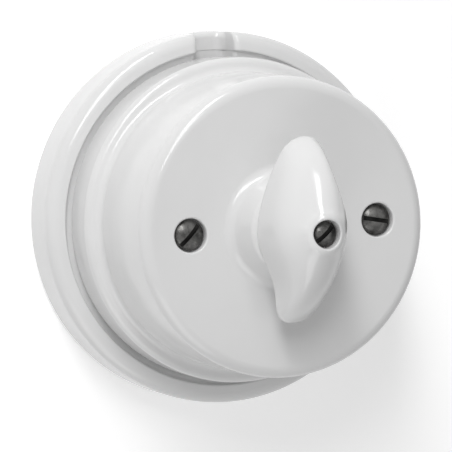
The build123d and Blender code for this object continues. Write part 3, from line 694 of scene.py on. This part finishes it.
def wing_shape(wing):
    """The wing as a closed solid without its holes."""
    climbs = [row / ROUND_ROWS for row in range(ROUND_ROWS)]
    climbs += [1 + row / FLANK_ROWS for row in range(FLANK_ROWS + 1)]
    rows = [(-1, climb) for climb in climbs] + [(1, climb) for climb in reversed(climbs[:-1])]

    def place(column, row):
        t = sin((column / WING_COLUMNS * 2 - 1) * pi / 2)
        return wing.flank(t, *rows[row])

    return fill_openings(draped(WING_COLUMNS, len(rows) - 1, place))


def shape_mouth(piece, wing):
    """Roll the crest over into the counterbore: the wide hole is narrowed by rings that follow the crest."""
    shape = wing.shape
    bore, lip = shape.screw_bore / 2, shape.lip
    floor = wing.foot + shape.rise - shape.bore_depth
    surface = bmesh.new()
    surface.from_mesh(piece.data)
    walls = [face for face in surface.faces if all(in_mouth(vert.co, wing) for vert in face.verts)]
    bmesh.ops.delete(surface, geom=walls, context="FACES")
    rim = [edge for edge in surface.edges if edge.is_boundary]
    rings = [(bore + lip * (1 - sin(lean)), lip * (1 - cos(lean))) for lean in quarter_turn()]
    for radius, drop in rings + [(bore, None)]:
        grown = bmesh.ops.extrude_edge_only(surface, edges=rim)["geom"]
        rim = [item for item in grown if isinstance(item, bmesh.types.BMEdge) and item.is_boundary]
        for vert in (item for item in grown if isinstance(item, bmesh.types.BMVert)):
            scale = radius / plan_radius(vert.co)
            x, z = vert.co.x * scale, vert.co.z * scale
            height = floor if drop is None else wing.height_at(x, z) - drop
            vert.co = Vector((x, -height, z))
    bmesh.ops.edgeloop_fill(surface, edges=rim)
    close(surface)
    surface.to_mesh(piece.data)
    surface.free()


def soften_crest(piece, wing):
    """Ease the ridge outside the mouth and above the foot, as glaze does."""
    surface = bmesh.new()
    surface.from_mesh(piece.data)
    free = mouth_radius(wing.shape) + wing.shape.lip
    ridge = [
        vert for vert in surface.verts
        if plan_radius(vert.co) > free and -vert.co.y > wing.foot + 2 * wing.shape.edge_round]
    for _ in range(wing.shape.softening):
        bmesh.ops.smooth_vert(
            surface, verts=ridge, factor=0.5, use_axis_x=True, use_axis_y=True, use_axis_z=True)
    surface.to_mesh(piece.data)
    surface.free()


def plan_radius(point):
    """Distance of a point from the switch's axis."""
    return hypot(point.x, point.z)


def mouth_radius(shape):
    """Radius within which the crest is rebuilt as rings round the counterbore."""
    return shape.screw_bore / 2 + MOUTH_ROOM * shape.lip


def in_mouth(point, wing):
    """Whether a point is on the plain hole that the rings replace."""
    over_foot = -point.y > wing.foot + wing.shape.edge_round
    return over_foot and plan_radius(point) < mouth_radius(wing.shape) + MOUTH_SLACK


class SWITCH_OT_knob(bpy.types.Operator):
    """S-shaped porcelain wing with its counterbore, screw hole and spindle socket."""
    bl_idname = "switch.knob"
    bl_label = "Knob"

    def execute(self, context):
        sizes, shape = context.scene.switch_sizes, context.scene.switch_knob_shape
        wing = Wing(shape)
        piece = as_object("knob_glazed", wing_shape(wing))
        crest = wing.foot + shape.rise
        floor = crest - shape.bore_depth
        cut(piece, rod(2 * mouth_radius(shape), floor, crest + shape.bore_depth, sides=AROUND_HEAD))
        shape_mouth(piece, wing)
        soften_crest(piece, wing)
        shank = rod(sizes.knob_screw + 2 * sizes.screw_gap, high("spindle"), crest)
        socket = block(shape.socket, shape.socket, wing.foot - shape.lip, high("spindle") + SOCKET_ROOM)
        cut(piece, shank, socket)
        seat(piece, "knob", context)
        return {"FINISHED"}


SCREW_HEAD_HEIGHTS = {"cover": 2.0, "knob": 1.9}
SLOT_TILTS = {"cover_screw_left": -45.0, "cover_screw_right": 12.0, "knob_screw": -40.0}
DOME_POINTS = 12          # points from a head's edge to its middle
SLOT_SLACK = 0.01 * MM    # a face this close to a slot's wall or floor is on it
OVER_HEAD = 1 * MM        # a slot's cutter passes this far over the head


def screw_shape(node, shank, sizes):
    """A screw with a domed head, without its slot."""
    head, top = wide(node) / 2, high(node)
    dome = ((head ** 2) + sizes.head_crown ** 2) / (2 * sizes.head_crown)
    seat_height = top - SCREW_HEAD_HEIGHTS[node.split("_")[0]] * MM
    points = [(0, low(node)), (shank / 2, low(node)), (shank / 2, seat_height), (head, seat_height)]
    for step in range(DOME_POINTS):
        radius = head * (1 - step / (DOME_POINTS - 1))
        points.append((radius, top - dome + sqrt(dome ** 2 - radius ** 2)))
    rounds = [0, 0, 0, sizes.head_round / 2, sizes.head_round] + [0] * (DOME_POINTS - 1)
    return turned(points, rounds, steps=AROUND_HEAD)


def darken_slot(piece, node, tilt, context):
    """Dirt and painted shade on the walls and the floor of a screw's slot: a far darker material stands for
    grime and for the shade inside the slot.
    """
    sizes = context.scene.switch_sizes
    piece.data.materials.append(MADE.get("slot_dirt_and_shade") or MADE.setdefault("slot_dirt_and_shade", slot_dirt_and_shade(context)))
    x, z = middle(node)
    for face in piece.data.polygons:
        beside = (face.center.x - x) * sin(tilt) + (face.center.z - z) * cos(tilt)
        in_slot = abs(beside) < sizes.slot_width / 2 + SLOT_SLACK
        # Faces on the slot's walls and floor take the far darker material: partly dirt, partly painted shade
        # where the slot lies in shade.
        if in_slot and -face.center.y > high(node) - sizes.slot_depth - SLOT_SLACK:
            face.material_index = 1


def slot_dirt_and_shade(context):
    """The nickel's own tone, far darker and rough: dirt together with painted shade for the inside of a slot.
    """
    return worn_metal("slot_dirt_and_shade", shaded(context.scene.switch_finish.nickel, 0.18), 0.5, 0.55)


class SWITCH_OT_screws(bpy.types.Operator):
    """The three visible screws, slotted and tarnished, their tone kept dark as painted shade, with dirt and
    painted shade in their slots.
    """
    bl_idname = "switch.screws"
    bl_label = "Visible screws"

    def execute(self, context):
        sizes = context.scene.switch_sizes
        for node, tilt in SLOT_TILTS.items():
            shank = sizes.knob_screw if node == "knob_screw" else sizes.cover_screw
            piece = as_object(f"{node}_aged", moved(screw_shape(node, shank, sizes), middle(node)))
            slot_floor = high(node) - sizes.slot_depth
            slot = block(2 * wide(node), sizes.slot_width, slot_floor, high(node) + OVER_HEAD)
            cut(piece, moved(slot, middle(node), radians(tilt)))
            seat(piece, node, context)
            darken_slot(piece, node, radians(tilt), context)
        return {"FINISHED"}


class SWITCH_OT_inside(bpy.types.Operator):
    """Finishes of the pieces inside, which keep their own shapes."""
    bl_idname = "switch.inside"
    bl_label = "Pieces inside"

    def execute(self, context):
        for node, holder in frame["nodes"].items():
            if not holder.material_slots:
                holder.data.materials.append(None)
            for place in holder.material_slots:
                place.material = finish_for(slot_of_node(node), context)
        return {"FINISHED"}


def seen_directly(nodes, links):
    """1 for rays that show the background itself, to the camera, in a reflection or through glass, else 0."""
    seen = nodes.new("ShaderNodeLightPath")
    level = seen.outputs["Is Camera Ray"]
    for ray in ("Is Glossy Ray", "Is Transmission Ray"):
        either = nodes.new("ShaderNodeMath")
        either.operation = "MAXIMUM"
        links.new(level, either.inputs[0])
        links.new(seen.outputs[ray], either.inputs[1])
        level = either.outputs["Value"]
    return level


def wall_finish(lift):
    """White wall: matt, with a little light of its own where it is seen, and clear from behind."""
    material = bpy.data.materials.new("white_wall")
    material.use_nodes = True
    nodes, links = material.node_tree.nodes, material.node_tree.links
    nodes.clear()
    strength = nodes.new("ShaderNodeMath")
    strength.operation = "MULTIPLY"
    strength.inputs[1].default_value = lift
    links.new(seen_directly(nodes, links), strength.inputs[0])
    glow = nodes.new("ShaderNodeEmission")
    links.new(strength.outputs["Value"], glow.inputs["Strength"])
    matt = nodes.new("ShaderNodeBsdfDiffuse")
    matt.inputs["Color"].default_value = (0.9, 0.9, 0.9, 1)
    both = nodes.new("ShaderNodeAddShader")
    links.new(matt.outputs["BSDF"], both.inputs[0])
    links.new(glow.outputs["Emission"], both.inputs[1])
    clear = nodes.new("ShaderNodeBsdfTransparent")
    side = nodes.new("ShaderNodeNewGeometry")
    choice = nodes.new("ShaderNodeMixShader")
    links.new(side.outputs["Backfacing"], choice.inputs["Fac"])
    links.new(both.outputs["Shader"], choice.inputs[1])
    links.new(clear.outputs["BSDF"], choice.inputs[2])
    out = nodes.new("ShaderNodeOutputMaterial")
    links.new(choice.outputs["Shader"], out.inputs["Surface"])
    return material


def make_world(ambient):
    """White surroundings: full white where they are seen, softer as a light."""
    world = bpy.data.worlds.new("white_room")
    bpy.context.scene.world = world
    world.use_nodes = True
    nodes, links = world.node_tree.nodes, world.node_tree.links
    background = nodes["Background"]
    background.inputs["Color"].default_value = (1, 1, 1, 1)
    level = nodes.new("ShaderNodeMapRange")
    level.inputs["To Min"].default_value = ambient
    level.inputs["To Max"].default_value = 1.0
    links.new(seen_directly(nodes, links), level.inputs["Value"])
    links.new(level.outputs["Result"], background.inputs["Strength"])


# Where each softbox stands as seen from the switch, its two sides in metres and its power in watts.
SOFTBOXES = {
    "key": ((-0.25, -0.45, 0.85), 0.15, 0.6, 3.2),
    "front_fill": ((-0.3, -0.8, 0.5), 0.25, 0.35, 2.0),
    "low_fill": ((-0.5, -0.45, -0.75), 0.6, 0.6, 1.8),
}
SOFTBOX_DISTANCE = 0.9
LIT_POINT = Vector((0, -30 * MM, 0))
WALL_REACH = 0.6          # from the wall's middle to its edges
WALL_GAP = 0.2 * MM       # keeps the wall's face off the base's back


def add_softbox(name, direction, size_x, size_y, power):
    """A rectangular area light that looks at the switch's middle."""
    light = bpy.data.lights.new(name, "AREA")
    light.shape = "RECTANGLE"
    light.size, light.size_y = size_x, size_y
    light.energy = power
    lamp = bpy.data.objects.new(name, light)
    bpy.context.scene.collection.objects.link(lamp)
    towards = Vector(direction).normalized()
    lamp.location = LIT_POINT + towards * SOFTBOX_DISTANCE
    lamp.rotation_mode = "QUATERNION"
    lamp.rotation_quaternion = towards.to_track_quat("Z", "Y")


def add_camera(studio):
    """Camera at the photograph's angle."""
    yaw, pitch = studio.yaw, studio.pitch
    back = Vector((-sin(yaw) * cos(pitch), -cos(yaw) * cos(pitch), sin(pitch)))
    right = Vector((0, 0, 1)).cross(back).normalized()
    up = back.cross(right)
    turned_right = right * cos(studio.roll) + up * sin(studio.roll)
    turned_up = up * cos(studio.roll) - right * sin(studio.roll)
    data = bpy.data.cameras.new("photo_camera")
    data.sensor_width = SENSOR
    data.lens = studio.focal_pixels / PICTURE_WIDTH * SENSOR
    camera = bpy.data.objects.new("photo_camera", data)
    bpy.context.scene.collection.objects.link(camera)
    turn = Matrix((turned_right, turned_up, back)).transposed().to_4x4()
    camera.matrix_world = Matrix.Translation(Vector(studio.target) + back * studio.distance) @ turn
    bpy.context.scene.camera = camera


class SWITCH_OT_stage(bpy.types.Operator):
    """White wall, soft lights and the camera."""
    bl_idname = "switch.stage"
    bl_label = "Stage"

    def execute(self, context):
        studio = context.scene.switch_studio
        shape = bmesh.new()
        upright = Matrix.Translation((0, WALL_GAP, 0)) @ Matrix.Rotation(pi / 2, 4, "X")
        bmesh.ops.create_grid(shape, x_segments=1, y_segments=1, size=WALL_REACH, matrix=upright)
        wall = as_object("wall", shape)
        wall.data.materials.append(wall_finish(studio.wall_lift))
        make_world(studio.ambient)
        for name, (direction, size_x, size_y, power) in SOFTBOXES.items():
            add_softbox(name, direction, size_x, size_y, power)
        add_camera(studio)
        context.scene.view_settings.view_transform = "Standard"
        return {"FINISHED"}


class SWITCH_PT_panel(bpy.types.Panel):
    """Buttons and settings of the switch."""
    bl_idname = "SWITCH_PT_panel"
    bl_label = "Porcelain switch"
    bl_space_type = "VIEW_3D"
    bl_region_type = "UI"
    bl_category = "Switch"

    def draw(self, context):
        for operator in OPERATORS:
            self.layout.operator(operator.bl_idname)
        for group in SETTINGS:
            settings = getattr(context.scene, group)
            column = self.layout.column(align=True)
            column.label(text=settings.bl_rna.description)
            for name in settings.bl_rna.properties.keys():
                if name not in ("rna_type", "name"):
                    column.prop(settings, name)


OPERATORS = (
    SWITCH_OT_inside, SWITCH_OT_base, SWITCH_OT_cover, SWITCH_OT_knob, SWITCH_OT_screws, SWITCH_OT_stage)
CLASSES = (*SETTINGS.values(), *OPERATORS, SWITCH_PT_panel)


def register():
    """Make the settings, operators and panel known."""
    for item in CLASSES:
        bpy.utils.register_class(item)
    for name, group in SETTINGS.items():
        setattr(bpy.types.Scene, name, bpy.props.PointerProperty(type=group))


def unregister():
    """Take the settings, operators and panel away again."""
    for name in SETTINGS:
        delattr(bpy.types.Scene, name)
    for item in reversed(CLASSES):
        bpy.utils.unregister_class(item)


def main():
    """Build the dressed switch."""
    register()
    bpy.ops.switch.inside()
    bpy.ops.switch.base()
    bpy.ops.switch.cover()
    bpy.ops.switch.knob()
    bpy.ops.switch.screws()
    bpy.ops.switch.stage()


if __name__ == "__main__":
    main()
